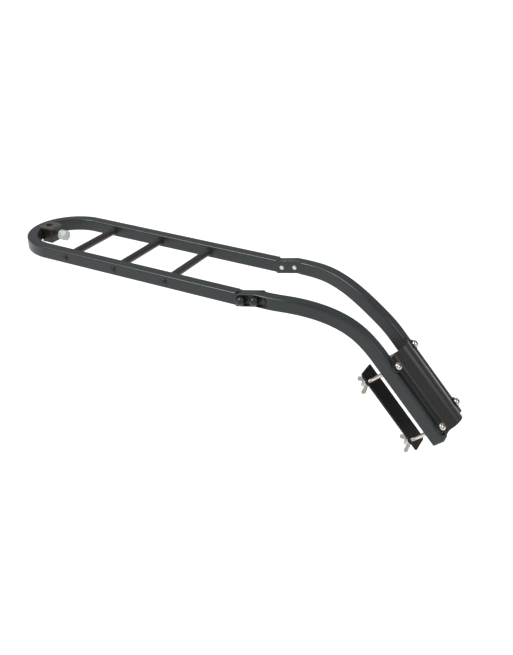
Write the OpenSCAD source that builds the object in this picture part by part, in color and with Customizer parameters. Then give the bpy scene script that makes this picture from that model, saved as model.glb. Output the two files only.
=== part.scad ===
// Bicycle seat-tube luggage rack with an angle-adjustable deck and a trailer hitch.
// Origin: middle of the seat-tube saddle, on the tube's axis. +X leaves the deck, +Z is up.

/* [Frame tube] */
// Width of the rectangular frame tube
tube_w = 18; // [17:0.5:19]
// Height of the rectangular frame tube
tube_h = 20.8; // [20:0.1:22]
// Corner radius of the frame tube
tube_r = 2.6; // [1.8:0.1:4]
// Wall thickness of the frame tube
wall = 1.6; // [1.2:0.1:2]

/* [Deck] */
// Outer width of the deck over both rails
deck_w = 150; // [140:1:170]
// Distance from the fold pivot to the centre of the loop end
rail_len = 372; // [340:1:420]
// Distance from the fold pivot to the first rung
rung_start = 135; // [120:1:150]
// Distance between rungs
rung_pitch = 96; // [80:1:105]
// Diameter of a rung
rung_d = 12; // [10:0.5:14]

/* [Hitch block] */
// Width of the hitch block
hitch_w = 28; // [22:1:34]
// Diameter of the hitch pin's hole
hitch_hole_d = 12.5; // [10:0.5:13]
// Thickness of the block's top flange
flange_t = 3; // [2:0.5:4]
// Diameter of the lock knob
knob_d = 17; // [14:1:20]

/* [Knuckle] */
// Spacing of the two knuckle bolts
knuckle_pitch = 22.7; // [22:0.1:26]
// Rise of the knuckle plate from the pivot to the lock bolt, in degrees
knuckle_rise = 12.2; // [8:0.1:16]
// Diameter of the knuckle bolts
knuckle_bolt_d = 6; // [5:1:6]

/* [Legs] */
// Straight length of a leg after the knuckle
leg_start = 40; // [36:1:60]
// Radius of the long bend of a leg
bend_r = 191.7; // [180:0.1:210]
// Angle of the clamp below the deck
clamp_tilt = 47.8; // [40:0.1:60]
// Distance of a leg's centre from the middle at the clamp
leg_y = 36.3; // [35:0.1:40]
// Length of the straight lower part of a leg
leg_low = 148.5; // [145:0.5:160]

/* [Seat-tube clamp] */
// Diameter of the seat tube that the liner fits
seat_tube_d = 35; // [28:0.5:35]
// Thickness of the rubber liner
liner_t = 1.5; // [1:0.1:2]
// Thickness of the saddle's sheet
saddle_t = 3; // [2:0.5:4]
// Length of the saddle
saddle_len = 138; // [130:1:140]
// Distance between the upper and lower clamp bolts
bolt_pitch = 107.5; // [90:0.5:110]
// Diameter of the clamp bolts
bolt_d = 6; // [5:1:6]
// Width of a rear jaw
jaw_w = 33.4; // [28:0.1:36]
// Thickness of a rear jaw
jaw_t = 3.5; // [3:0.5:5]
// Free space between a leg and its opened jaw
jaw_gap = 29; // [20:0.5:30]

/* [Hidden] */
$fn = 48;

paint = "#3a3e40";
dark = "#1c1c1e";
zinc = "#c8c8c4";
clear_fit = 0.3;         // play beside a moving face
run_fit = 0.05;          // radial play of a turning fit
eps = 0.01;              // overshoot of a cut

// Across the width: the rail, and the layers of the knuckle from the inside out
rail_y = (deck_w - tube_w) / 2;
rail_in = deck_w / 2 - tube_w;
plate_t = 3;
rail_tongue_t = 5.6;
leg_ear_t = 3.8;
washer_t = 1.2;
rail_tongue_y = rail_in + plate_t + clear_fit;
leg_ear_y = rail_tongue_y + rail_tongue_t + clear_fit;
pocket_y = leg_ear_y + leg_ear_t;
nose_r = 13.4;           // the knuckle's round ends, wide enough for the deck to swing up to 90 degrees
nose_gap = 0.5;          // play round the knuckle's round ends

// Clamp frame: X runs down the seat tube and Z forward, so a leg's centre lies behind the tube
saddle_in = seat_tube_d / 2 + liner_t;
saddle_out = saddle_in + saddle_t;
leg_n = -6;
leg_front = leg_n + tube_h / 2;
leg_back = leg_n - tube_h / 2;
leg_top = -78.5;
flange_out = leg_y;
ear_r = 8.5;
jaw_front = leg_back - jaw_gap;
jaw_back = jaw_front - jaw_t;
head_washer_t = 2.4;
head_seat = leg_front + saddle_t + head_washer_t;
head_h = 4.4;
bolt_end = jaw_back - 11;

// The side view of the legs, from the clamp up to the knuckle
bend_end = [leg_top * cos(clamp_tilt) + leg_n * sin(clamp_tilt),
            -leg_top * sin(clamp_tilt) + leg_n * cos(clamp_tilt)];
lock_at = [bend_end[0] - bend_r * sin(clamp_tilt) - leg_start,
           bend_end[1] + bend_r * (1 - cos(clamp_tilt))];
pivot_at = [lock_at[0] - knuckle_pitch * cos(knuckle_rise),
            lock_at[1] - knuckle_pitch * sin(knuckle_rise)];
arc_len = bend_r * clamp_tilt * PI / 180;

// Frames that the modules are drawn in
module at_deck() translate([pivot_at[0], 0, pivot_at[1]]) children();
module at_loop() at_deck() translate([-rail_len, 0, 0]) children();
module at_knuckle() at_deck() rotate([0, -knuckle_rise, 0]) children();
module at_clamp() rotate([0, clamp_tilt, 0]) children();
module right_side() mirror([0, 1, 0]) children();
module both_sides() { children(); right_side() children(); }

// Extrudes a Y-Z outline along X
module along_x(len) rotate([90, 0, 90]) linear_extrude(len) children();
// Extrudes an X-Z outline along Y, from y = 0
module along_y(len) rotate([90, 0, 0]) translate([0, 0, -len]) linear_extrude(len) children();
// A rod along +Y that starts at y = from
module rod_y(r, from, len) translate([0, from, 0]) rotate([-90, 0, 0]) cylinder(r = r, h = len);

module round_rect(w, h, r) {
    square([w - 2 * r, h], center = true);
    square([w, h - 2 * r], center = true);
    for (x = [-1, 1], y = [-1, 1]) translate([x * (w / 2 - r), y * (h / 2 - r)]) circle(r);
}
module tube_outer() round_rect(tube_w, tube_h, tube_r);
module tube_inner() round_rect(tube_w - 2 * wall, tube_h - 2 * wall, tube_r - wall / 2);

// ---- Deck ----
rung_x = [-rung_start, -rung_start - rung_pitch, -rung_start - 2 * rung_pitch];
screw_r = 2.5;
cavity_end = 33;         // where a rail's end is filled, before the pivot

module loop_sweep() rotate([0, 0, 90]) rotate_extrude(angle = 180, $fn = 96)
    translate([rail_y, 0]) children();

// Side outline of the round shoulder beside a rail's tongue
module rail_shoulder() {
    circle(nose_r + nose_gap);
    translate([-1, -tube_w]) square([2 * tube_w, 2 * tube_w]);
}

module rail_side() {
    circle(tube_h / 2);
    translate([-rail_len, -tube_h / 2]) square([rail_len, tube_h]);
}

// A rail with a flat tongue in the middle of its end
module rail_solid() difference() {
    intersection() {
        translate([-rail_len, rail_y, 0]) along_x(rail_len + tube_h / 2) tube_outer();
        along_y(deck_w) rail_side();
    }
    for (y = [rail_tongue_y - tube_w, rail_tongue_y + rail_tongue_t])
        translate([0, y, 0]) along_y(tube_w) rail_shoulder();
}

// A rail as a tube with its end filled
module rail() difference() {
    rail_solid();
    translate([-rail_len - eps, rail_y, 0]) along_x(rail_len - cavity_end) tube_inner();
}

module deck_loop() color(paint) at_deck() difference() {
    union() {
        translate([-rail_len, 0, 0]) loop_sweep() difference() { tube_outer(); tube_inner(); }
        both_sides() rail();
    }
    both_sides() {
        rod_y(knuckle_bolt_d / 2 + run_fit, rail_in, tube_w);
        for (x = rung_x) translate([x, 0, 0]) rod_y(screw_r + run_fit, rail_in - 1, tube_w + 2);
    }
    for (y = hitch_screw_y) translate([-rail_len, y, 0]) rotate([0, -90, 0])
        cylinder(r = screw_r + run_fit, h = deck_w);
}

module rung(x) color(paint) at_deck() translate([x, 0, 0]) difference() {
    rod_y(rung_d / 2, -rail_in, 2 * rail_in);
    both_sides() rod_y(screw_r + run_fit, rail_in - rung_bore, rung_bore + 1);
}
rung_bore = 16;
module rung_front() rung(rung_x[0]);
module rung_middle() rung(rung_x[1]);
module rung_rear() rung(rung_x[2]);

// A low domed screw head on the plane z = 0, with a hexagon socket
module button_head(r, h) difference() {
    intersection() {
        cylinder(r = r, h = h);
        translate([0, 0, h - r * 1.7]) sphere(r * 1.7);
    }
    translate([0, 0, h * 0.45]) cylinder(r = r * 0.36, h = h, $fn = 6);
}

module rung_screws() color(dark) at_deck() both_sides() for (x = rung_x)
    translate([x, deck_w / 2, 0]) rotate([-90, 0, 0]) {
        button_head(4.75, 2.75);
        translate([0, 0, -tube_w - rung_bore + 2]) cylinder(r = screw_r, h = tube_w + rung_bore - 2);
    }

// ---- Hitch block inside the loop end ----
hitch_hole_x = -(rail_in - hitch_hole_d / 2 - 1.2);
hitch_face_x = -35;
hitch_bottom = -13;
flange_len = 29;
pin_r = 3;
pin_throw = 3.5;         // how far the released pin moves into the hitch hole
pin_tip_x = hitch_hole_x + hitch_hole_d / 2 + 0.5;
stem_r = 3.6;
knob_x = -26;
hitch_screw_y = [-9, 9];

module hitch_block() color(dark) at_loop() difference() {
    union() {
        intersection() {
            translate([-rail_in, -hitch_w / 2, hitch_bottom])
                cube([rail_in + hitch_face_x, hitch_w, tube_h / 2 - hitch_bottom]);
            translate([0, 0, -tube_h]) cylinder(r = rail_in - 0.02, h = 2 * tube_h, $fn = 96);
        }
        translate([hitch_face_x + 3 - flange_len / 2, 0, tube_h / 2]) linear_extrude(flange_t)
            round_rect(flange_len, hitch_w, 4);
    }
    translate([hitch_hole_x, 0, -tube_h]) cylinder(d = hitch_hole_d, h = 3 * tube_h);
    translate([hitch_hole_x, 0, 0]) rotate([0, 90, 0]) cylinder(r = pin_r + run_fit, h = rail_in);
    for (y = hitch_screw_y) translate([-rail_in - 1, y, 0]) rotate([0, 90, 0])
        cylinder(r = screw_r + run_fit, h = 15);
}

module hitch_screws() color(dark) at_loop() for (y = hitch_screw_y)
    translate([-sqrt(pow(deck_w / 2, 2) - y * y) - 0.4, y, 0]) rotate([0, -90, 0]) {
        button_head(4.75, 2.75);
        translate([0, 0, -tube_w - 10]) cylinder(r = screw_r, h = tube_w + 10);
    }

module lock_pin() color(zinc) at_loop() rotate([0, 90, 0]) {
    translate([0, 0, pin_tip_x]) cylinder(r = pin_r, h = knob_x + 9 - pin_tip_x);
    translate([0, 0, hitch_face_x + pin_throw + clear_fit])
        cylinder(r = stem_r, h = knob_x - hitch_face_x - pin_throw - clear_fit);
}

module lock_knob() color("#dfe3e0", 0.8) at_loop() translate([knob_x, 0, 0]) rotate([0, 90, 0])
    difference() {
        rotate_extrude() difference() {
            union() {
                square([knob_d / 2, 12.5]);
                square([knob_d / 2 - 2.5, 15]);
                translate([knob_d / 2 - 2.5, 12.5]) circle(2.5);
            }
            square([pin_r, 9]);
            translate([-knob_d, -knob_d]) square([knob_d, 3 * knob_d]);
        }
        for (a = [0 : 30 : 330]) rotate([0, 0, a]) translate([knob_d / 2 + 0.9, 0, -1])
            cylinder(r = 1.7, h = 14, $fn = 24);
    }

// ---- Legs: one tube swept along its side view while it closes in ----
taper_in = [13, 166];    // path length over which a leg moves in towards the clamp
leg_total = leg_start + arc_len + leg_low;

function smooth(u) = let (c = max(0, min(1, u))) c * c * (3 - 2 * c);
function bend_at(s) = max(0, min(clamp_tilt, (s - leg_start) / arc_len * clamp_tilt));
function path_x(s) = s < 0 ? s * cos(knuckle_rise) : min(s, leg_start) + bend_r * sin(bend_at(s))
    + max(0, s - leg_start - arc_len) * cos(clamp_tilt);
function path_z(s) = s < 0 ? s * sin(knuckle_rise) : -bend_r * (1 - cos(bend_at(s)))
    - max(0, s - leg_start - arc_len) * sin(clamp_tilt);
function path_dip(s) = s < 4 ? -knuckle_rise * min(1, (4 - s) / 8) : bend_at(s);
function path_y(s) = rail_y
    + (leg_y - rail_y) * smooth((s - taper_in[0]) / (taper_in[1] - taper_in[0]));
function yaw(s) = atan(path_y(s + 0.5) - path_y(s - 0.5));
function section(w, h, r, n) = [for (q = [0 : 3], i = [0 : n])
    let (a = 90 * q + 90 * i / n, x = (q == 0 || q == 3) ? 1 : -1, z = q < 2 ? 1 : -1)
    [x * (w / 2 - r) + r * cos(a), z * (h / 2 - r) + r * sin(a)]];

// One ring of the sweep: p is in the section, d the tube's direction in the side view
function ring(s, w, h, r, n) = [for (p = section(w, h, r, n)) let (d = path_dip(s), k = yaw(s))
    [lock_at[0] + path_x(s) - p[0] * sin(k) * cos(d) + p[1] * sin(d),
     path_y(s) + p[0] * cos(k),
     lock_at[1] + path_z(s) + p[0] * sin(k) * sin(d) + p[1] * cos(d)]];

module sweep(stations, cut, n) {
    m = 4 * (n + 1);
    last = len(stations) - 1;
    rings = [for (s = stations)
        ring(s, tube_w - cut, tube_h - cut, tube_r - cut / 4, n)];
    polyhedron(points = [for (r = rings, p = r) p], faces = concat(
        [[for (k = [0 : m - 1]) k]],
        [for (i = [0 : last - 1], k = [0 : m - 1])
            let (a = i * m + k, b = i * m + (k + 1) % m) [a, a + m, b]],
        [for (i = [0 : last - 1], k = [0 : m - 1])
            let (a = i * m + k, b = i * m + (k + 1) % m) [b, a + m, b + m]],
        [[for (k = [m - 1 : -1 : 0]) last * m + k]]), convexity = 6);
}

leg_stations = concat([-knuckle_pitch - nose_r - 1, -4, 0, 4, 12, 19, 26, 33],
    [for (s = [leg_start : 6 : leg_start + arc_len]) s],
    [leg_start + arc_len, leg_start + arc_len + leg_low / 2, leg_total]);
cavity_start = 22;       // where the leg's tube is hollow from, past the lock bolt
cavity_stations = concat([cavity_start, 28, 34], [for (s = [leg_start : 8 : leg_start + arc_len]) s],
    [leg_start + arc_len, leg_total + 1]);

module bolt_places() for (x = [-1, 1]) translate([x * bolt_pitch / 2, leg_y, 0]) children();

pocket_r = 8.1;
pocket_end = 12;         // how far the nut pocket runs past the lock bolt

// Rounds the leg's end about the pivot
module end_cut() difference() {
    translate([-3 * tube_w, -tube_w]) square([3 * tube_w, 2 * tube_w]);
    circle(nose_r);
}
// Makes room for the knuckle plate, with a round shoulder about the lock bolt
module plate_cut() {
    translate([knuckle_pitch, 0]) circle(nose_r + nose_gap);
    translate([-2 * tube_w, -tube_w]) square([2 * tube_w + knuckle_pitch, 2 * tube_w]);
}
// Makes room for the rail's tongue from rest to folded
module tongue_cut() {
    reach = tube_h / 2 + nose_gap;
    circle(reach);
    translate([-2 * tube_w, -tube_w]) square([2 * tube_w, 2 * tube_w]);
    translate([-eps, -tube_w]) square([reach, tube_w]);
}
module nut_pocket() {
    run = pocket_end - pocket_r / 2;
    circle(pocket_r);
    translate([0, -pocket_r]) square([knuckle_pitch, 2 * pocket_r]);
    translate([knuckle_pitch, 0]) rotate(-knuckle_rise) {
        for (x = [0, run]) translate([x, 0]) circle(pocket_r);
        translate([0, -pocket_r]) square([run, 2 * pocket_r]);
    }
}

module leg() color(paint) difference() {
    sweep(leg_stations, 0, 3);
    sweep(cavity_stations, 2 * wall, 2);
    at_knuckle() {
        translate([0, rail_in - 1, 0]) along_y(tube_w + 2) end_cut();
        translate([0, rail_in - 1, 0]) along_y(plate_t + 1) plate_cut();
        translate([0, rail_in, 0]) along_y(leg_ear_y - rail_in) tongue_cut();
        translate([0, pocket_y, 0]) along_y(tube_w) nut_pocket();
        for (x = [0, knuckle_pitch]) translate([x, 0, 0])
            rod_y(knuckle_bolt_d / 2 + run_fit, rail_in, tube_w + 1);
    }
    at_clamp() bolt_places() translate([0, 0, leg_back - 1])
        cylinder(r = bolt_d / 2 + clear_fit, h = tube_h + 2);
}
module leg_left() leg();
module leg_right() right_side() leg();

// Rounded cap that closes a leg's lower end
module leg_plug() color(dark) at_clamp() translate([leg_top + leg_low, leg_y, leg_n]) {
    along_x(2) tube_outer();
    translate([2, 0, 0]) along_x(1.2) round_rect(tube_w - 2.4, tube_h - 2.4, tube_r - 0.6);
    translate([-11, 0, 0]) along_x(11) round_rect(tube_w - 2 * wall - 0.2,
        tube_h - 2 * wall - 0.2, tube_r - wall / 2);
}
module leg_plug_left() leg_plug();
module leg_plug_right() right_side() leg_plug();

// ---- Knuckle ----
module knuckle_plate() color(paint) at_knuckle() difference() {
    intersection() {
        translate([-tube_w, rail_y, 0]) along_x(knuckle_pitch + 2 * tube_w) tube_outer();
        translate([0, rail_in - 1, 0]) along_y(plate_t + 1) plate_outline();
    }
    for (x = [0, knuckle_pitch]) translate([x, 0, 0]) rod_y(knuckle_bolt_d / 2 + run_fit, 0, deck_w);
}
module plate_outline() {
    for (x = [0, knuckle_pitch]) translate([x, 0]) circle(nose_r);
    translate([0, -tube_h]) square([knuckle_pitch, 2 * tube_h]);
}
module knuckle_plate_left() knuckle_plate();
module knuckle_plate_right() right_side() knuckle_plate();

module knuckle_bolt(x) color(zinc) at_knuckle() both_sides() translate([x, 0, 0]) {
    rod_y(knuckle_bolt_d / 2, rail_in, pocket_y - rail_in + 5);
    rod_y(knuckle_bolt_d / 2 + 0.8, rail_in - 0.8, 0.8);
}
module pivot_bolts() knuckle_bolt(0);
module lock_bolts() knuckle_bolt(knuckle_pitch);

module knuckle_washers() color(dark) at_knuckle() both_sides() for (x = [0, knuckle_pitch])
    translate([x, 0, 0]) difference() {
        rod_y(7.4, pocket_y, washer_t);
        rod_y(knuckle_bolt_d / 2 + run_fit, rail_in, tube_w + 5);
    }

// Tall smooth caps over the nuts
module dome_nuts() color(dark) at_knuckle() both_sides() for (x = [0, knuckle_pitch])
    translate([x, pocket_y + washer_t, 0]) rotate([-90, 0, 0]) difference() {
        union() {
            cylinder(r = cap_r, h = cap_h);
            translate([0, 0, cap_h - 0.6]) sphere(cap_r - 0.3);
        }
        translate([0, 0, -8]) cylinder(r = cap_r, h = 8);
        translate([0, 0, -1]) cylinder(r = knuckle_bolt_d / 2 + run_fit, h = 6);
    }
cap_r = 6.9;
cap_h = 6.2;

// ---- Seat-tube clamp ----
// A half pipe with flanges that widen to a round ear at each bolt
module saddle() color(dark) at_clamp() difference() {
    union() {
        translate([-saddle_len / 2, 0, 0]) along_x(saddle_len) intersection() {
            circle(saddle_out);
            translate([-saddle_out, leg_front]) square([2 * saddle_out, saddle_out]);
        }
        translate([0, 0, leg_front]) linear_extrude(saddle_t) {
            square([saddle_len, 2 * flange_out], center = true);
            for (x = [-1, 1], y = [-1, 1]) translate([x * bolt_pitch / 2, y * leg_y]) circle(ear_r);
        }
    }
    translate([-saddle_len / 2 - 1, 0, 0]) along_x(saddle_len + 2) circle(saddle_in);
    both_sides() bolt_places() translate([0, 0, leg_front - 1])
        cylinder(r = bolt_d / 2 + clear_fit, h = saddle_t + 2);
}

module saddle_liner() color("#101010") at_clamp() translate([-saddle_len / 2 + 2, 0, 0])
    along_x(saddle_len - 4) difference() {
        circle(saddle_in);
        circle(seat_tube_d / 2);
        translate([-saddle_out, -2 * saddle_out + leg_front]) square(2 * saddle_out);
    }

module clamp_bolts() color(zinc) at_clamp() both_sides() bolt_places() {
    translate([0, 0, bolt_end]) cylinder(r = bolt_d / 2, h = head_seat - bolt_end);
    translate([0, 0, head_seat]) button_head(6, head_h);
}

module washer(from, t) translate([0, 0, from]) difference() {
    cylinder(r = 6.4, h = t);
    translate([0, 0, -1]) cylinder(r = bolt_d / 2 + clear_fit, h = t + 2);
}
module clamp_washers() color(dark) at_clamp() both_sides() bolt_places()
    washer(leg_front + saddle_t, head_washer_t);

// A flat jaw with two opposite corners well rounded
module jaw_outline() {
    half = (saddle_len + 1) / 2;
    corners = [[-half, jaw_w / 2, 6], [half, jaw_w / 2, 1], [half, -jaw_w / 2, 6], [-half, -jaw_w / 2, 1]];
    difference() {
        square([2 * half, jaw_w], center = true);
        for (c = corners) translate([c[0], c[1]]) difference() {
            square(2 * c[2], center = true);
            translate([-sign(c[0]) * c[2], -sign(c[1]) * c[2]]) circle(c[2]);
        }
    }
}

jaw_out = leg_y + 4.6;   // the jaw's outer edge

module jaw() color(dark) at_clamp() difference() {
    translate([0, jaw_out - jaw_w / 2, jaw_back]) linear_extrude(jaw_t) jaw_outline();
    bolt_places() translate([0, 0, jaw_back - 1]) cylinder(r = bolt_d / 2 + clear_fit, h = jaw_t + 2);
}
module jaw_left() jaw();
module jaw_right() right_side() jaw();

module jaw_washers() color(zinc) at_clamp() bolt_places() washer(jaw_back - washer_t, washer_t);
module jaw_washers_left() jaw_washers();
module jaw_washers_right() right_side() jaw_washers();

// A wing nut that points down the bolt, away from the jaw
wing_t = 3;
module wing_nut(x) color(zinc) at_clamp() translate([x * bolt_pitch / 2, leg_y, jaw_back - washer_t])
    mirror([0, 0, 1]) rotate([0, 0, 35]) difference() {
        union() {
            cylinder(r1 = 5.6, r2 = 4.8, h = 6.5);
            for (side = [0, 180]) rotate([0, 0, side]) rotate([90, 0, 0])
                translate([0, 0, -wing_t / 2]) linear_extrude(wing_t) {
                    polygon([[2, 0.5], [5, 0.5], [13.2, 8], [8.2, 13], [4, 6.5], [2, 6.5]]);
                    translate([10.6, 10.6]) circle(3.6);
                }
        }
        translate([0, 0, -1]) cylinder(r = bolt_d / 2 + run_fit, h = 20);
    }
module wing_nut_left_upper() wing_nut(-1);
module wing_nut_left_lower() wing_nut(1);
module wing_nut_right_upper() right_side() wing_nut(-1);
module wing_nut_right_lower() right_side() wing_nut(1);

deck_loop();
rung_front();
rung_middle();
rung_rear();
rung_screws();
hitch_block();
hitch_screws();
lock_pin();
lock_knob();
leg_left();
leg_right();
leg_plug_left();
leg_plug_right();
knuckle_plate_left();
knuckle_plate_right();
pivot_bolts();
lock_bolts();
knuckle_washers();
dome_nuts();
saddle();
saddle_liner();
clamp_bolts();
clamp_washers();
jaw_left();
jaw_right();
jaw_washers_left();
jaw_washers_right();
wing_nut_left_upper();
wing_nut_left_lower();
wing_nut_right_upper();
wing_nut_right_lower();
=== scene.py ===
import math

import bmesh
import bpy
from mathutils import Matrix, Vector


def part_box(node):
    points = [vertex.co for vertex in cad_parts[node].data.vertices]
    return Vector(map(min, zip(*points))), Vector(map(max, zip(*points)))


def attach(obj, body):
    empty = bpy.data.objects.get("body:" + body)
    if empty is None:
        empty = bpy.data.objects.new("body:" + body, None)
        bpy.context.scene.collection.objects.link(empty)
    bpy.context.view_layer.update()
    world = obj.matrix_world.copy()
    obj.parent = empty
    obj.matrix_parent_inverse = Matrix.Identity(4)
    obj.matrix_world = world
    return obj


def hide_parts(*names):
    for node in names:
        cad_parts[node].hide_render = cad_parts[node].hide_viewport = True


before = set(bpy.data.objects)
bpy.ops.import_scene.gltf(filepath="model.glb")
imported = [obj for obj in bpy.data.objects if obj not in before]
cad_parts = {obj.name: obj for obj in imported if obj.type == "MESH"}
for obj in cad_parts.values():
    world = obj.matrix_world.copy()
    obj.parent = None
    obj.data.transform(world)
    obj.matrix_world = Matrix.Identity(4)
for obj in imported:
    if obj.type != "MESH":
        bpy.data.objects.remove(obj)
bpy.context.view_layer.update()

# A luggage rack for a bicycle's seat tube: a hinged deck with a trailer hitch, two bent legs and a
# clamp. Shapes are drawn in millimetres, in the same frames as the CAD, and placed in metres.

# ---- Sizes, mm, with angles in degrees ----
# The frame tube, the play beside a moving face, a hair between two faces, and the seam round the hitch
TUBE_W, TUBE_H, TUBE_R, WALL = 18.0, 20.8, 2.6, 1.6
HALF_H = TUBE_H / 2
CLEAR_FIT, HAIR, SEAM = 0.3, 0.05, 0.02

# Deck, seen from the fold pivot; a screw's head is its radius and height
RAIL_LEN, RUNG_START, RUNG_PITCH = 372.0, 135.0, 96.0
RUNG_X = [-RUNG_START - i * RUNG_PITCH for i in range(3)]
SCREW_R, SCREW_HEAD = 2.5, (4.75, 2.75)

# Knuckle: its bolts, its round ends, its layers from the inside out, and the pocket for the nuts
KNUCKLE_PITCH, KNUCKLE_RISE, KNUCKLE_BOLT_R = 22.7, 12.2, 3.0
NOSE_R, KNUCKLE_GAP = 13.4, 0.5
PLATE_T, TONGUE_T, EAR_T, WASHER_T = 3.0, 5.6, 3.8, 1.2
POCKET_R, POCKET_END = 8.1, 12.0
CAP_R, CAP_H = 6.9, 5.4

# Legs: a straight start, a bend down by the clamp's tilt and a straight lower part
LEG_START, BEND_R, CLAMP_TILT, LEG_LOW = 40.0, 191.7, 47.8, 148.5
LEG_Y, LEG_N, LEG_TOP = 36.3, -6.0, -78.5
TAPER_IN = (13.0, 166.0)
CAVITY_START = 22.0

# Seat-tube clamp
BOLT_R, BOLT_PITCH, BOLT_HEAD, BOLT_PAST = 3.0, 107.5, (6.0, 4.4), 11.0
WASHER_R, HEAD_WASHER_T = 6.4, 2.4
SADDLE_IN, SADDLE_T, SADDLE_LEN, EAR_R = 19.0, 3.0, 138.0, 8.5
JAW_W, JAW_T, JAW_GAP, JAW_LIP = 33.4, 3.5, 29.0, 4.6
JAW_ROUND_R, JAW_SHARP_R = 6.0, 1.0
WING_T, WING_TURN = 3.0, 35.0

# Hitch, seen from the centre of the loop's end
HITCH_W, HITCH_HOLE_R, HITCH_WALL = 28.0, 6.25, 1.2
HITCH_FACE_X, HITCH_BOTTOM = -35.0, -13.0
FLANGE_T, FLANGE_LEN, FLANGE_LIP = 3.0, 29.0, 3.0
HITCH_SCREW_Y = (-9.0, 9.0)
PIN_R = 3.0
KNOB_X, KNOB_R, KNOB_LEN = -26.0, 8.5, 15.0

# Places that follow from the frame: the deck's half width and its pivot
MM = 1000.0   # millimetres in a metre
deck_lo, deck_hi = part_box("deck_loop")
DECK_HALF = deck_hi[1] * MM
RAIL_Y, RAIL_IN = DECK_HALF - TUBE_W / 2, DECK_HALF - TUBE_W
PIVOT = Vector((deck_hi[0] * MM - HALF_H, 0, (deck_lo[2] + deck_hi[2]) / 2 * MM))
LOCK = PIVOT + KNUCKLE_PITCH * Vector((math.cos(math.radians(KNUCKLE_RISE)), 0,
                                       math.sin(math.radians(KNUCKLE_RISE))))

# Layers of the knuckle across the width, and of the clamp along the bolts
LEG_EAR_Y = RAIL_IN + PLATE_T + TONGUE_T + 2 * CLEAR_FIT
POCKET_Y = LEG_EAR_Y + EAR_T
LEG_FRONT, LEG_BACK = LEG_N + HALF_H, LEG_N - HALF_H
HEAD_SEAT = LEG_FRONT + SADDLE_T + HEAD_WASHER_T
JAW_FRONT = LEG_BACK - JAW_GAP
JAW_BACK = JAW_FRONT - JAW_T
BOLT_END = JAW_BACK - BOLT_PAST
KNUCKLE_BOLTS = {"pivot": 0, "lock": KNUCKLE_PITCH}
CLAMP_BOLTS = {"upper": -BOLT_PITCH / 2, "lower": BOLT_PITCH / 2}

# ---- Frames to draw in ----
DECK = Matrix.Translation(PIVOT)
LOOP = DECK @ Matrix.Translation((-RAIL_LEN, 0, 0))
KNUCKLE = DECK @ Matrix.Rotation(-math.radians(KNUCKLE_RISE), 4, "Y")
CLAMP = Matrix.Rotation(math.radians(CLAMP_TILT), 4, "Y")
ALONG_Y = Matrix(((1, 0, 0, 0), (0, 0, 1, 0), (0, 1, 0, 0), (0, 0, 0, 1)))   # Z becomes Y
ALONG_X = Matrix(((0, 0, 1, 0), (1, 0, 0, 0), (0, 1, 0, 0), (0, 0, 0, 1)))   # X, Y, Z become Y, Z, X
TO_METRES = Matrix.Scale(1 / MM, 4)
SIDES = {"left": Matrix(), "right": Matrix.Scale(-1, 4, (0, 1, 0))}


def shift(x=0.0, y=0.0, z=0.0):
    return Matrix.Translation((x, y, z))


# ---- Outlines ----
def arc(cx, cy, r, start, end, steps):
    """Points on a circle from one angle to another, in degrees."""
    angles = [math.radians(start + (end - start) * i / steps) for i in range(steps + 1)]
    return [(cx + r * math.cos(a), cy + r * math.sin(a)) for a in angles]


def ring_outline(r, steps=48, cx=0.0, cy=0.0):
    return arc(cx, cy, r, 0, 360, steps)[:-1]


def round_rect(w, h, r, steps=6):
    corners = [(w / 2 - r, h / 2 - r, 0), (r - w / 2, h / 2 - r, 90),
               (r - w / 2, r - h / 2, 180), (w / 2 - r, r - h / 2, 270)]
    return [p for cx, cy, a in corners for p in arc(cx, cy, r, a, a + 90, steps)]


# ---- Solids ----
def loft(rings):
    """A closed solid through rings of points that all have the same number of points."""
    bm = bmesh.new()
    rows = [[bm.verts.new(p) for p in ring] for ring in rings]
    for low, high in zip(rows, rows[1:]):
        for i, vert in enumerate(low):
            j = (i + 1) % len(low)
            bm.faces.new((vert, low[j], high[j], high[i]))
    bm.faces.new(rows[0][::-1])
    bm.faces.new(rows[-1])
    bmesh.ops.recalc_face_normals(bm, faces=bm.faces)
    return bm


def prism(outline, low, high, rim=0.0):
    """An outline raised along Z, with rounded rims where rim is its radius."""
    bm = loft([[(x, y, z) for x, y in outline] for z in (low, high)])
    if rim:
        edges = [e for e in bm.edges if len({round(v.co.z, 4) for v in e.verts}) == 1]
        bmesh.ops.bevel(bm, geom=edges, offset=rim, segments=3, profile=0.5, affect="EDGES",
                        clamp_overlap=True)
    return bm


def rod(r, low, high, steps=32, x=0.0, y=0.0):
    """A plain round bar along Z, to keep or to cut a hole with."""
    return prism(ring_outline(r, steps, x, y), low, high)


def lathe(profile, steps=48):
    """A solid turned about Z from (radius, height) pairs that begin and end near the axis."""
    return loft([[(r * x, r * y, z) for x, y in ring_outline(1, steps)] for r, z in profile])


def screw_thread(r, low, high, pitch=1.0, depth=0.34, steps=24, per_turn=4):
    """A rod with a helical thread and chamfered ends."""
    rows = round((high - low) / pitch * per_turn)
    rings = []
    for i in range(rows + 1):
        z = low + (high - low) * i / rows
        chamfer = max(0, 1 - min(z - low, high - z) / 0.8) * 0.6
        ring = []
        for j in range(steps):
            phase = (i / per_turn - j / steps) % 1
            radius = r - chamfer - depth * abs(2 * phase - 1)
            turn = 2 * math.pi * j / steps
            ring.append((radius * math.cos(turn), radius * math.sin(turn), z))
        rings.append(ring)
    return loft(rings)


def placed(bm, matrix):
    bmesh.ops.transform(bm, matrix=matrix, verts=bm.verts)
    return bm


def joined(*parts):
    """Several solids in one mesh, left as separate shells."""
    whole = bmesh.new()
    for part in parts:
        mesh = bpy.data.meshes.new("part")
        part.to_mesh(mesh)
        whole.from_mesh(mesh)
        bpy.data.meshes.remove(mesh)
        part.free()
    return whole


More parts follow.
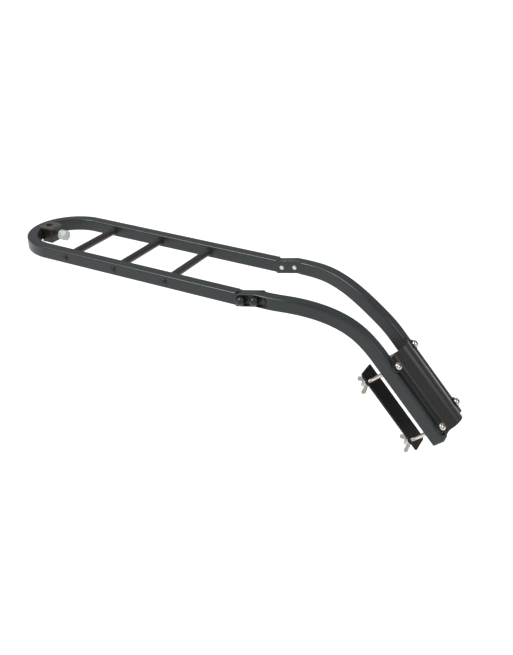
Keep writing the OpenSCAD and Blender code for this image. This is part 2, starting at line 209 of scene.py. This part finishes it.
def combined(base, operation, *tools):
    """The base with each tool cut from it, added to it or kept in common with it."""
    objects = []
    for bm in (base, *tools):
        bmesh.ops.recalc_face_normals(bm, faces=bm.faces)
        mesh = bpy.data.meshes.new("solid")
        bm.to_mesh(mesh)
        bm.free()
        objects.append(bpy.data.objects.new("solid", mesh))
        bpy.context.scene.collection.objects.link(objects[-1])
    for tool in objects[1:]:
        modifier = objects[0].modifiers.new("combine", "BOOLEAN")
        modifier.operation = operation
        modifier.solver = "EXACT"
        modifier.object = tool
    evaluated = objects[0].evaluated_get(bpy.context.evaluated_depsgraph_get())
    result = bmesh.new()
    result.from_mesh(evaluated.to_mesh())
    evaluated.to_mesh_clear()
    for obj in objects:
        mesh = obj.data
        bpy.data.objects.remove(obj)
        bpy.data.meshes.remove(mesh)
    bmesh.ops.remove_doubles(result, verts=result.verts, dist=0.001)
    return result


# ---- Materials ----
class Nodes:
    """A small helper round a material's node tree."""

    def __init__(self, name):
        self.material = bpy.data.materials.new(name)
        self.material.use_nodes = True
        self.tree = self.material.node_tree
        self.shader = self.tree.nodes["Principled BSDF"]
        self.place = self.add("ShaderNodeTexCoord").outputs["Object"]

    def add(self, kind, **settings):
        node = self.tree.nodes.new(kind)
        for key, value in settings.items():
            if key in node.inputs:
                node.inputs[key].default_value = value
            else:
                setattr(node, key, value)
        return node

    def link(self, output, target):
        self.tree.links.new(output, target)

    def noise(self, scale, detail=4.0, rough=0.55, stretch=None):
        node = self.add("ShaderNodeTexNoise", Scale=scale, Detail=detail, Roughness=rough)
        place = self.place
        if stretch:
            mapping = self.add("ShaderNodeMapping")
            mapping.inputs["Scale"].default_value = stretch
            self.link(place, mapping.inputs["Vector"])
            place = mapping.outputs["Vector"]
        self.link(place, node.inputs["Vector"])
        return node.outputs["Fac"]

    def spread(self, value, low, high, out_low=0.0, out_high=1.0):
        node = self.add("ShaderNodeMapRange")
        for key, number in (("From Min", low), ("From Max", high), ("To Min", out_low), ("To Max", out_high)):
            node.inputs[key].default_value = number
        self.link(value, node.inputs["Value"])
        return node.outputs["Result"]

    def blend(self, factor, low, high):
        """Colours or colour outputs mixed by a factor."""
        node = self.add("ShaderNodeMix", data_type="RGBA")
        self.link(factor, node.inputs["Factor"])
        for slot, colour in ((6, low), (7, high)):
            if isinstance(colour, tuple):
                node.inputs[slot].default_value = (*colour, 1)
            else:
                self.link(colour, node.inputs[slot])
        return node.outputs[2]

    def edges(self, radius, low, high):
        """1 on the outer edges of a shape, 0 on its flats."""
        bevel = self.add("ShaderNodeBevel", samples=6, Radius=radius)
        geometry = self.add("ShaderNodeNewGeometry")
        dot = self.add("ShaderNodeVectorMath", operation="DOT_PRODUCT")
        self.link(bevel.outputs["Normal"], dot.inputs[0])
        self.link(geometry.outputs["Normal"], dot.inputs[1])
        return self.spread(dot.outputs["Value"], high, low)

    def bump(self, height, distance, strength=1.0, rounded=0.0):
        node = self.add("ShaderNodeBump", Distance=distance, Strength=strength)
        self.link(height, node.inputs["Height"])
        if rounded:
            bevel = self.add("ShaderNodeBevel", samples=6, Radius=rounded)
            self.link(bevel.outputs["Normal"], node.inputs["Normal"])
        self.link(node.outputs["Normal"], self.shader.inputs["Normal"])

    def finish(self, colour, roughness, **constants):
        self.link(colour, self.shader.inputs["Base Color"])
        self.link(roughness, self.shader.inputs["Roughness"])
        for key, value in constants.items():
            self.shader.inputs[key.replace("_", " ")].default_value = value
        return self.material


def srgb(r, g, b):
    """A linear colour from 0-255 screen values."""
    return tuple((c / 255 / 12.92) if c < 11 else ((c / 255 + 0.055) / 1.055) ** 2.4 for c in (r, g, b))


def powder_coat(name, colour, dust_wear_and_highlight, roughness, edge_highlight_strength=0.6):
    """Baked paint with a fine orange peel, uneven gloss, faint dust, and outer edges lightened partly as
    rubbed wear and partly as a painted highlight.
    """
    n = Nodes(name)
    peel = n.noise(900, 2.0, 0.5)
    patches = n.noise(14, 5.0, 0.6)
    specks = n.noise(2600, 1.0, 0.5)
    tone = n.blend(n.spread(patches, 0.3, 0.7), tuple(c * 0.86 for c in colour),
                   tuple(c * 1.12 for c in colour))
    dusty = n.blend(n.spread(specks, 0.62, 0.8, 0, 0.35), tone, dust_wear_and_highlight)
    # Outer edges lightened towards the second colour, broken by noise: partly rubbed paint, partly a painted
    # highlight
    edge_wear_and_highlight = n.add("ShaderNodeMath", operation="MULTIPLY")
    n.link(n.edges(0.0012, 0.86, 0.985), edge_wear_and_highlight.inputs[0])
    n.link(n.spread(n.noise(120, 4.0, 0.7), 0.35, 0.72, 0.1, edge_highlight_strength), edge_wear_and_highlight.inputs[1])
    paint = n.blend(edge_wear_and_highlight.outputs[0], dusty, dust_wear_and_highlight)
    n.bump(peel, 0.00006, 0.55, 0.0006)
    return n.finish(paint, n.spread(patches, 0.3, 0.7, roughness - 0.06, roughness + 0.07),
                    Coat_Weight=0.12, Coat_Roughness=0.2, Specular_IOR_Level=0.3)


def bright_zinc(name, colour, roughness):
    """Plated steel with fine turning marks and slight tarnish."""
    n = Nodes(name)
    stains = n.noise(160, 4.0, 0.6)
    scratches = n.noise(700, 2.0, 0.6, (1, 1, 0.12))
    tone = n.blend(n.spread(stains, 0.35, 0.75), colour, tuple(c * 0.62 for c in colour))
    n.bump(scratches, 0.00004, 0.5, 0.0003)
    return n.finish(tone, n.spread(stains, 0.3, 0.7, roughness - 0.07, roughness + 0.12), Metallic=1.0)


def black_oxide(name):
    """Blackened steel with stains, lighter along its edges as rubbed wear and a painted highlight."""
    n = Nodes(name)
    stains = n.noise(220, 4.0, 0.6)
    tone = n.blend(n.spread(stains, 0.35, 0.7), (0.016, 0.017, 0.018), (0.035, 0.036, 0.038))
    # Painted highlight along the edges, mixed with rubbed wear
    rubbed_and_highlit_edges = n.blend(n.edges(0.0006, 0.8, 0.98), tone, (0.17, 0.17, 0.17))
    n.bump(n.noise(1800, 2.0), 0.00003, 0.5, 0.0003)
    return n.finish(rubbed_and_highlit_edges, n.spread(stains, 0.3, 0.7, 0.24, 0.42), Metallic=0.55)


def moulded(name, colour, roughness, grain=1500, depth=0.00005, **constants):
    """Moulded plastic or rubber with a fine grain and soft scuffs."""
    n = Nodes(name)
    scuffs = n.noise(60, 5.0, 0.65)
    tone = n.blend(n.spread(scuffs, 0.35, 0.75), colour,
                   tuple(min(1, c * 1.35 + 0.004) for c in colour))
    n.bump(n.noise(grain, 3.0, 0.6), depth, 0.6, 0.0004)
    return n.finish(tone, n.spread(scuffs, 0.3, 0.7, roughness - 0.06, roughness + 0.08), **constants)


# Each coat's second colour is for dust specks and for lighter edges, which are partly wear and partly a
# painted highlight
PAINT = powder_coat("frame_paint", srgb(34, 38, 39), srgb(108, 118, 121), 0.36)
RUNG_PAINT = powder_coat("rung_paint", srgb(40, 38, 36), srgb(96, 92, 87), 0.44)
BLACK = powder_coat("black_paint", srgb(22, 22, 21), srgb(76, 76, 75), 0.38, 0.5)
JAW_BLACK = powder_coat("jaw_paint", srgb(6, 3, 3), srgb(24, 18, 17), 0.62, 0.3)
CAST = powder_coat("hitch_cast", srgb(70, 65, 59), srgb(128, 120, 111), 0.52, 0.5)
ZINC = bright_zinc("zinc", srgb(214, 205, 194), 0.24)
ZINC_DULL = bright_zinc("zinc_dull", srgb(200, 196, 188), 0.36)
SCREW_BLACK = black_oxide("black_screw")
PLUG = moulded("plug_plastic", srgb(34, 34, 35), 0.46)
RUBBER = moulded("rubber", srgb(22, 22, 22), 0.82, 900, 0.00012)
KNOB = moulded("knob_plastic", srgb(182, 186, 185), 0.24, 1200, 0.00002,
               Transmission_Weight=0.3, IOR=1.46)


# ---- Finished pieces ----
SHARP_EDGE = math.radians(32)


def finish_piece(name, bm, material, body, slot, *nodes):
    """Makes the object in metres, smooth but for its sharp edges, and ties it to the CAD."""
    placed(bm, TO_METRES)
    bmesh.ops.recalc_face_normals(bm, faces=bm.faces)
    mesh = bpy.data.meshes.new(name)
    bm.to_mesh(mesh)
    bm.free()
    mesh.shade_smooth()
    mesh.set_sharp_from_angle(angle=SHARP_EDGE)
    mesh.materials.append(material)
    obj = bpy.data.objects.new(name, mesh)
    bpy.context.scene.collection.objects.link(obj)
    weighted = obj.modifiers.new("weighted_normals", "WEIGHTED_NORMAL")
    weighted.keep_sharp = True
    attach(obj, body)
    if nodes:
        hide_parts(*nodes)


def on_both_sides(draw, *sizes):
    """One mesh of a shape and its mirror image."""
    return joined(*(placed(draw(*sizes), mirror) for mirror in SIDES.values()))


def at_knuckle(shape, x, y=0.0):
    """Turns a shape drawn along Z outwards, at one of the knuckle's bolts."""
    return placed(shape, KNUCKLE @ shift(x, y) @ ALONG_Y)


def at_clamp_bolts(draw, *sizes):
    """One side's clamp fasteners, drawn along Z."""
    return joined(*(placed(draw(*sizes), CLAMP @ shift(a, LEG_Y)) for a in CLAMP_BOLTS.values()))


# ---- Legs ----
ARC_LEN = BEND_R * math.radians(CLAMP_TILT)
LEG_TOTAL = LEG_START + ARC_LEN + LEG_LOW


def smooth(u):
    """An even ease from 0 to 1."""
    u = max(0.0, min(1.0, u))
    return u * u * (3 - 2 * u)


def bend_at(s):
    """How far the leg has bent down at a path length past the lock bolt, in degrees."""
    return max(0.0, min(CLAMP_TILT, (s - LEG_START) / ARC_LEN * CLAMP_TILT))


def leg_point(s):
    """A leg's centre at a path length past the lock bolt."""
    rise, turn, tilt = math.radians(KNUCKLE_RISE), math.radians(bend_at(s)), math.radians(CLAMP_TILT)
    y = RAIL_Y + (LEG_Y - RAIL_Y) * smooth((s - TAPER_IN[0]) / (TAPER_IN[1] - TAPER_IN[0]))
    if s < 0:
        return LOCK + Vector((s * math.cos(rise), y, s * math.sin(rise)))
    straight = max(0.0, s - LEG_START - ARC_LEN)
    x = min(s, LEG_START) + BEND_R * math.sin(turn) + straight * math.cos(tilt)
    z = -BEND_R * (1 - math.cos(turn)) - straight * math.sin(tilt)
    return LOCK + Vector((x, y, z))


def leg_dip(s):
    """The tube's slope in the side view, eased from the knuckle's rise into the straight start."""
    eased_from, eased_over = 4, 8
    if s < eased_from:
        return math.radians(-KNUCKLE_RISE * min(1.0, (eased_from - s) / eased_over))
    return math.radians(bend_at(s))


def leg_ring(s, thinner=0.0, steps=6):
    """One ring of a leg's skin, or of its hollow where thinner is twice the wall."""
    outline = round_rect(TUBE_W - thinner, TUBE_H - thinner, TUBE_R - thinner / 4, steps)
    dip = leg_dip(s)
    yaw = math.atan2(leg_point(s + 0.5).y - leg_point(s - 0.5).y, 1)
    centre = leg_point(s)
    return [(centre.x - p * math.sin(yaw) * math.cos(dip) + q * math.sin(dip),
             centre.y + p * math.cos(yaw),
             centre.z + p * math.sin(yaw) * math.sin(dip) + q * math.cos(dip)) for p, q in outline]


def span(start, end, step):
    """Even stations from a start up to, but without, an end."""
    count = max(1, round((end - start) / step))
    return [start + (end - start) * i / count for i in range(count)]


def knuckle_cuts():
    """Cuts that round the leg's end and make room for the knuckle plate and the rail's tongue."""
    far, out = -3 * TUBE_W, TUBE_W
    shoulder, tongue = NOSE_R + KNUCKLE_GAP, HALF_H + KNUCKLE_GAP
    end = [(far, -out), (0, -out), *arc(0, 0, NOSE_R, 270, 90, 40), (0, out), (far, out)]
    plate = [(far, -out), (KNUCKLE_PITCH, -out), *arc(KNUCKLE_PITCH, 0, shoulder, -90, 90, 40),
             (KNUCKLE_PITCH, out), (far, out)]
    slot = [(far, -out), (tongue, -out), *arc(0, 0, tongue, 0, 90, 20), (0, out), (far, out)]
    layers = [(end, RAIL_IN - 1, DECK_HALF + 1), (plate, RAIL_IN - 1, RAIL_IN + PLATE_T),
              (slot, RAIL_IN, LEG_EAR_Y)]
    return [placed(prism(outline, low, high), KNUCKLE @ ALONG_Y) for outline, low, high in layers]


def pocket_ring(r, run, y):
    """The nut pocket's outline at one depth, in the knuckle's frame."""
    rise = math.radians(KNUCKLE_RISE)
    far_x, far_z = KNUCKLE_PITCH + run * math.cos(rise), -run * math.sin(rise)
    outline = arc(0, 0, r, 90, 270, 16) + [(KNUCKLE_PITCH, -r)]
    outline += arc(far_x, far_z, r, 270 - KNUCKLE_RISE, 450 - KNUCKLE_RISE, 16) + [(KNUCKLE_PITCH, r)]
    return [(x, y, z) for x, z in outline]


def nut_pocket():
    """A pocket that widens towards the outside, with a far end that slopes up gently."""
    run = POCKET_END - POCKET_R / 2
    grown = [(-0.5, -1.5, 0), (-0.1, -0.5, 0.7), (0, 2.5, 2.5), (0.2, 4.5, 4.0), (0.7, 6.0, 5.0),
             (1.2, 7.5, 5.6)]
    return placed(loft([pocket_ring(POCKET_R + wider, run + longer, POCKET_Y + up)
                        for wider, longer, up in grown]), KNUCKLE)


def leg():
    """A hollow tube along the leg's path, cut for the knuckle and drilled for its bolts."""
    bend_end = LEG_START + ARC_LEN
    path = [-KNUCKLE_PITCH - NOSE_R - 1, *span(-KNUCKLE_PITCH, -4, 4), *span(-4, 12, 2),
            *span(12, LEG_START, 4), *span(LEG_START, bend_end, 4), *span(bend_end, LEG_TOTAL, 24), LEG_TOTAL]
    hollow_path = [*span(CAVITY_START, LEG_START, 6), *span(LEG_START, bend_end, 6), bend_end, LEG_TOTAL + 1]
    skin = loft([leg_ring(s) for s in path])
    hollow = loft([leg_ring(s, 2 * WALL, 3) for s in hollow_path])
    holes = [at_knuckle(rod(KNUCKLE_BOLT_R + HAIR, RAIL_IN, DECK_HALF + 1, 24), x)
             for x in KNUCKLE_BOLTS.values()]
    holes += [placed(rod(BOLT_R + CLEAR_FIT, LEG_BACK - 1, LEG_FRONT + 1, 24), CLAMP @ shift(a, LEG_Y))
              for a in CLAMP_BOLTS.values()]
    return combined(skin, "DIFFERENCE", hollow, *knuckle_cuts(), nut_pocket(), *holes)


for side, mirror in SIDES.items():
    finish_piece(f"leg_tube_{side}", placed(leg(), mirror), PAINT, "legs", "frame_paint", f"leg_{side}")


def leg_cap():
    """A rounded plug in a leg's open end, lofted through heights and insets from the tube's outside."""
    def ring(z, inset):
        outline = round_rect(TUBE_W - 2 * inset, TUBE_H - 2 * inset, max(0.6, TUBE_R - inset / 3))
        return [(x, y, z) for x, y in outline]

    rim = 1.2
    plug = [(-11, WALL + 0.1), (0, WALL + 0.1), (0.01, HAIR), (rim, 0.0)]
    crown = [(rim + 2.0 * math.sin(a), 2.4 * (1 - math.cos(a))) for a in map(math.radians, range(15, 91, 15))]
    shape = loft([ring(z, inset) for z, inset in plug + crown])
    return placed(shape, CLAMP @ shift(LEG_TOP + LEG_LOW, LEG_Y, LEG_N) @ ALONG_X)


for side, mirror in SIDES.items():
    finish_piece(f"leg_cap_{side}", placed(leg_cap(), mirror), PLUG, "legs", "plug_plastic",
                 f"leg_plug_{side}")


# ---- Fasteners ----
AXIS = 0.05   # how near a turned profile comes to its axis


def domed_head(r, h):
    """A low domed head standing on z = 0, with a hexagon socket."""
    rim = h * 0.28
    dome = [(r * 0.02, 0), (r - 0.3, 0), (r, 0.3), (r, rim)]
    dome += [(r * math.cos(a) ** 0.8, rim + (h - rim) * math.sin(a))
             for a in map(math.radians, range(12, 90, 13))]
    return combined(lathe([*dome, (r * 0.05, h)], 40), "DIFFERENCE", rod(r * 0.36, h * 0.4, h + 1, 6))


def tube_screw(bite):
    """A screw on z = 0 that goes down through the frame tube and bites into what it holds."""
    thread = screw_thread(SCREW_R - HAIR, -TUBE_W - bite, -HAIR, 0.8, 0.25, 20)
    return joined(domed_head(*SCREW_HEAD), thread)


def rung_screws():
    return joined(*(placed(tube_screw(14), DECK @ shift(x, DECK_HALF) @ ALONG_Y) for x in RUNG_X))


def hitch_screw(y):
    """A screw whose flat seat stands a little off the round outside of the loop."""
    seat_x = -math.sqrt(DECK_HALF ** 2 - y * y) - 0.4
    return placed(tube_screw(10), LOOP @ shift(seat_x, y) @ Matrix.Rotation(-math.pi / 2, 4, "Y"))


def knuckle_bolt(x):
    """A bolt that shows a small bright end inside the deck and its thread in the nut pocket."""
    inner = lathe([(AXIS, -0.8), (2.6, -0.8), (3.4, -0.55), (3.8, 0)], 32)
    pocket = POCKET_Y - RAIL_IN
    shank = rod(KNUCKLE_BOLT_R, -HAIR, pocket + 1)
    thread = screw_thread(KNUCKLE_BOLT_R, pocket + 0.9, pocket + 5)
    return at_knuckle(joined(inner, shank, thread), x, RAIL_IN)


def dome_nut(x):
    """A tall smooth cap over a nut."""
    rim = 0.4
    profile = [(AXIS, 0), (CAP_R - rim, 0), (CAP_R, rim)]
    profile += [(CAP_R * math.cos(a), CAP_H + CAP_R * math.sin(a))
                for a in map(math.radians, range(0, 90, 6))]
    outer = lathe([*profile, (AXIS, CAP_H + CAP_R)])
    cap = combined(outer, "DIFFERENCE", rod(KNUCKLE_BOLT_R + HAIR, -1, 5))
    return at_knuckle(cap, x, POCKET_Y + WASHER_T)


def dome_nuts():
    return joined(*(dome_nut(x) for x in KNUCKLE_BOLTS.values()))


def washer(low, high):
    """A flat ring with softened edges."""
    soft = 0.2
    blank = lathe([(AXIS, low), (WASHER_R - soft, low), (WASHER_R, low + soft), (WASHER_R, high - soft),
                   (WASHER_R - soft, high), (AXIS, high)], 40)
    return combined(blank, "DIFFERENCE", rod(BOLT_R + CLEAR_FIT, low - 1, high + 1))


def clamp_bolt():
    """A long screw, threaded from its end to just past the opened jaw."""
    head = placed(domed_head(*BOLT_HEAD), shift(z=HEAD_SEAT))
    thread_top = JAW_FRONT + 6
    plain = rod(BOLT_R - HAIR, thread_top, HEAD_SEAT + HAIR)
    return joined(head, plain, screw_thread(BOLT_R, BOLT_END, thread_top + HAIR))


finish_piece("rung_screw_set", on_both_sides(rung_screws), SCREW_BLACK, "deck", "black_screw", "rung_screws")
finish_piece("hitch_screw_pair", joined(*(hitch_screw(y) for y in HITCH_SCREW_Y)), SCREW_BLACK, "deck",
             "black_screw", "hitch_screws")
for name, x in KNUCKLE_BOLTS.items():
    finish_piece(f"{name}_bolt_pair", on_both_sides(knuckle_bolt, x), ZINC, "legs", "zinc", f"{name}_bolts")
finish_piece("dome_nut_set", on_both_sides(dome_nuts), SCREW_BLACK, "legs", "black_screw", "dome_nuts")
finish_piece("clamp_bolt_set", on_both_sides(at_clamp_bolts, clamp_bolt), ZINC, "legs", "zinc", "clamp_bolts")
finish_piece("clamp_washer_set", on_both_sides(at_clamp_bolts, washer, LEG_FRONT + SADDLE_T, HEAD_SEAT),
             SCREW_BLACK, "legs", "black_screw", "clamp_washers")


# ---- Seat-tube saddle ----
def saddle():
    """A pressed channel with two flanges that widen to a round ear at each bolt."""
    out_r, fillet, bend = SADDLE_IN + SADDLE_T, 7.0, 3.0
    top, flange_out = LEG_FRONT + SADDLE_T, LEG_Y + EAR_R
    fillet_y = math.sqrt((out_r + fillet) ** 2 - (top + fillet) ** 2)
    fillet_at = math.degrees(math.atan2(top + fillet, fillet_y))
    bend_y = math.sqrt((SADDLE_IN + bend) ** 2 - (LEG_FRONT + bend) ** 2)
    bend_angle = math.degrees(math.atan2(LEG_FRONT + bend, bend_y))
    half = [(flange_out, LEG_FRONT), (flange_out, top)]
    half += arc(fillet_y, top + fillet, fillet, 270, 180 + fillet_at, 8)
    half += arc(0, 0, out_r, fillet_at + 3, 90, 18)
    inner = arc(0, 0, SADDLE_IN, 90, bend_angle + 3, 18)
    inner += arc(bend_y, LEG_FRONT + bend, bend, 180 + bend_angle, 270, 8)
    outline = half + [(-x, y) for x, y in half[-2::-1]] + [(-x, y) for x, y in inner[::-1]] + inner[1:]
    sheet = placed(prism(outline, -SADDLE_LEN / 2, SADDLE_LEN / 2, 0.5), ALONG_X)
    strip = prism(round_rect(SADDLE_LEN + 0.2, 2 * LEG_Y, 5.0), LEG_FRONT - 1, out_r + 1)
    ears, holes = ([rod(r, LEG_FRONT - 1, out_r + 1, 40, a, y)
                    for a in CLAMP_BOLTS.values() for y in (-LEG_Y, LEG_Y)]
                   for r in (EAR_R, BOLT_R + CLEAR_FIT))
    sheet = combined(sheet, "INTERSECT", combined(strip, "UNION", *ears))
    return placed(combined(sheet, "DIFFERENCE", *holes), CLAMP)


finish_piece("saddle_sheet", saddle(), BLACK, "legs", "black_paint", "saddle")


# ---- Jaws and wing nuts ----
def jaw():
    """A flat plate with two opposite corners well rounded."""
    half_len, half_w = (SADDLE_LEN + 1) / 2, JAW_W / 2
    centre_y = LEG_Y + JAW_LIP - half_w
    sharp, rounded = (JAW_SHARP_R, 4), (JAW_ROUND_R, 10)
    corners = [(1, 1, *sharp), (-1, 1, *rounded), (-1, -1, *sharp), (1, -1, *rounded)]
    outline = []
    for i, (end, edge, r, steps) in enumerate(corners):
        outline += arc(end * (half_len - r), centre_y + edge * (half_w - r), r, 90 * i, 90 * i + 90, steps)
    plate = prism(outline, JAW_BACK, JAW_FRONT, 0.45)
    holes = [rod(BOLT_R + CLEAR_FIT, JAW_BACK - 1, JAW_FRONT + 1, 32, a, LEG_Y) for a in CLAMP_BOLTS.values()]
    return placed(combined(plate, "DIFFERENCE", *holes), CLAMP)


def wing_nut():
    """A wing nut on z = 0 with its wings along X, before it is turned."""
    hub = lathe([(AXIS, 0), (5.3, 0), (5.6, 0.3), (5.1, 4.6), (4.8, 6.1), (4.4, 6.5), (AXIS, 6.5)], 40)
    wing = [(2, 0.5), (5, 0.5), (9.4, 3.9), *arc(10.6, 10.6, 3.6, -42, 132, 14), (4.4, 6.9), (2, 6.2)]
    upright = Matrix.Rotation(math.pi / 2, 4, "X")
    wings = [placed(prism(wing, -WING_T / 2, WING_T / 2, 0.7), Matrix.Rotation(turn, 4, "Z") @ upright)
             for turn in (0, math.pi)]
    return combined(combined(hub, "UNION", *wings), "DIFFERENCE", rod(BOLT_R + HAIR, -1, 20))


for side, mirror in SIDES.items():
    body = f"jaw_{side}"
    washers = at_clamp_bolts(washer, JAW_BACK - WASHER_T + HAIR, JAW_BACK)
    finish_piece(f"clamp_jaw_{side}", placed(jaw(), mirror), JAW_BLACK, body, "black_paint", body)
    finish_piece(f"jaw_washer_pair_{side}", placed(washers, mirror), ZINC_DULL, body, "zinc",
                 f"jaw_washers_{side}")
    for level, a in CLAMP_BOLTS.items():
        nut = f"wing_nut_{side}_{level}"
        seat = CLAMP @ shift(a, LEG_Y, JAW_BACK - WASHER_T) @ Matrix.Scale(-1, 4, (0, 0, 1))
        shape = placed(wing_nut(), mirror @ seat @ Matrix.Rotation(math.radians(WING_TURN), 4, "Z"))
        finish_piece(f"wing_{side}_{level}", shape, ZINC_DULL, nut, "zinc", nut)


# ---- Hitch ----
def hitch_blank():
    """The block's outline: an arc that fits inside the loop, with rounded inner corners."""
    half, reach, corner = HITCH_W / 2, RAIL_IN - SEAM, 2.0
    edge = math.degrees(math.asin(half / reach))
    inner = HITCH_FACE_X - corner
    return [*arc(0, 0, reach, 180 - edge, 180 + edge, 12), *arc(inner, corner - half, corner, 270, 360, 6),
            *arc(inner, half - corner, corner, 0, 90, 6)]


def hitch():
    """The block under the loop's top face, and the plate that covers it."""
    hole_x = HITCH_HOLE_R + HITCH_WALL - RAIL_IN
    block = combined(prism(hitch_blank(), HITCH_BOTTOM, HALF_H, 0.6), "DIFFERENCE",
                     rod(HITCH_HOLE_R, -TUBE_H, 2 * TUBE_H, 48, hole_x),
                     placed(rod(PIN_R + HAIR, hole_x, 0), ALONG_X))
    centre = HITCH_FACE_X + FLANGE_LIP - FLANGE_LEN / 2
    outline = [(x + centre, y) for x, y in round_rect(FLANGE_LEN, HITCH_W, 4)]
    plate = combined(prism(outline, HALF_H + SEAM, HALF_H + FLANGE_T, 0.7), "DIFFERENCE",
                     rod(HITCH_HOLE_R, 0, 2 * TUBE_H, 48, hole_x))
    return placed(block, LOOP), placed(plate, LOOP)


hitch_body, hitch_plate = hitch()
finish_piece("hitch_body", hitch_body, BLACK, "deck", "black_paint", "hitch_block")
finish_piece("hitch_plate", hitch_plate, CAST, "deck", "black_paint")


def knob():
    """A ribbed knob on the lock pin's stem."""
    steps, ribs, flute_depth, shoulder, crown = 120, 12, 0.75, 12.5, 2.5
    profile = [(AXIS, 0.0), (KNOB_R - 1.0, 0.0), (KNOB_R - 0.3, 0.4), (KNOB_R, 1.2), (KNOB_R, shoulder - 0.5)]
    profile += [(KNOB_R - crown * (1 - math.cos(a)), shoulder + crown * math.sin(a))
                for a in map(math.radians, range(15, 91, 15))]
    profile += [(3.4, KNOB_LEN), (2.8, KNOB_LEN - 0.5), (AXIS, KNOB_LEN - 0.6)]
    rings = []
    for r, z in profile:
        fluted = r > KNOB_R - 1 and 0.5 < z < KNOB_LEN - 1
        ring = []
        for turn in (2 * math.pi * j / steps for j in range(steps)):
            radius = r - (flute_depth * max(0.0, math.cos(ribs * turn)) if fluted else 0)
            ring.append((radius * math.cos(turn), radius * math.sin(turn), z))
        rings.append(ring)
    return placed(loft(rings), LOOP @ shift(KNOB_X) @ ALONG_X)


finish_piece("pull_knob", knob(), KNOB, "lock_plunger", "knob_plastic", "lock_knob")

# ---- CAD nodes that stay, with their own finishes ----
KEPT = {"deck_loop": PAINT, "rung_front": RUNG_PAINT, "rung_middle": RUNG_PAINT, "rung_rear": RUNG_PAINT,
        "knuckle_plate_left": PAINT, "knuckle_plate_right": PAINT, "knuckle_washers": SCREW_BLACK,
        "lock_pin": ZINC, "saddle_liner": RUBBER}
for node, material in KEPT.items():
    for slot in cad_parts[node].material_slots:
        slot.material = material

# ---- Stage, in metres ----
FLOOR_Z, FLOOR_HALF = -0.8, 30.0
CAMERA_AT, CAMERA_TURN, LENS = (0.2721, -1.0188, 0.6577), (61.44, 0, 28.28), 45.7


def floor():
    """A wide sheet of pale paper."""
    bm = bmesh.new()
    corners = [(-1, -1), (1, -1), (1, 1), (-1, 1)]
    bm.faces.new([bm.verts.new((x * FLOOR_HALF, y * FLOOR_HALF, FLOOR_Z)) for x, y in corners])
    mesh = bpy.data.meshes.new("floor")
    bm.to_mesh(mesh)
    bm.free()
    n = Nodes("floor_paper")
    tone = n.blend(n.spread(n.noise(3, 3.0), 0.3, 0.7), (0.9, 0.9, 0.9), (0.93, 0.93, 0.93))
    roughness = n.spread(n.noise(40, 3.0), 0.3, 0.7, 0.85, 0.95)
    mesh.materials.append(n.finish(tone, roughness, Specular_IOR_Level=0.1))
    obj = bpy.data.objects.new("floor", mesh)
    bpy.context.scene.collection.objects.link(obj)


def soft_light(name, toward, strength, spread):
    """A far, wide soft light that shines along one direction all over the scene."""
    data = bpy.data.lights.new(name, "SUN")
    data.energy, data.angle = strength, math.radians(spread)
    obj = bpy.data.objects.new(name, data)
    obj.rotation_euler = Vector(toward).to_track_quat("-Z", "Y").to_euler()
    bpy.context.scene.collection.objects.link(obj)


def pale_world(strength):
    world = bpy.data.worlds.new("studio")
    world.use_nodes = True
    background = world.node_tree.nodes["Background"]
    background.inputs["Color"].default_value = (1, 1, 1, 1)
    background.inputs["Strength"].default_value = strength
    bpy.context.scene.world = world


def camera():
    data = bpy.data.cameras.new("camera")
    data.lens = LENS
    obj = bpy.data.objects.new("camera", data)
    obj.location = CAMERA_AT
    obj.rotation_euler = [math.radians(turn) for turn in CAMERA_TURN]
    bpy.context.scene.collection.objects.link(obj)
    bpy.context.scene.camera = obj


floor()
# The key light puts a thin bright line on the upper outer edges; the glint does so on the clamp
soft_light("key", (0.4, 0.44, -0.79), 3.3, 22)
soft_light("fill", (-0.62, 0.63, -0.46), 0.35, 50)
soft_light("glint", (-0.775, -0.19, -0.6), 0.8, 10)
pale_world(0.38)
camera()
bpy.context.scene.view_settings.view_transform = "Standard"
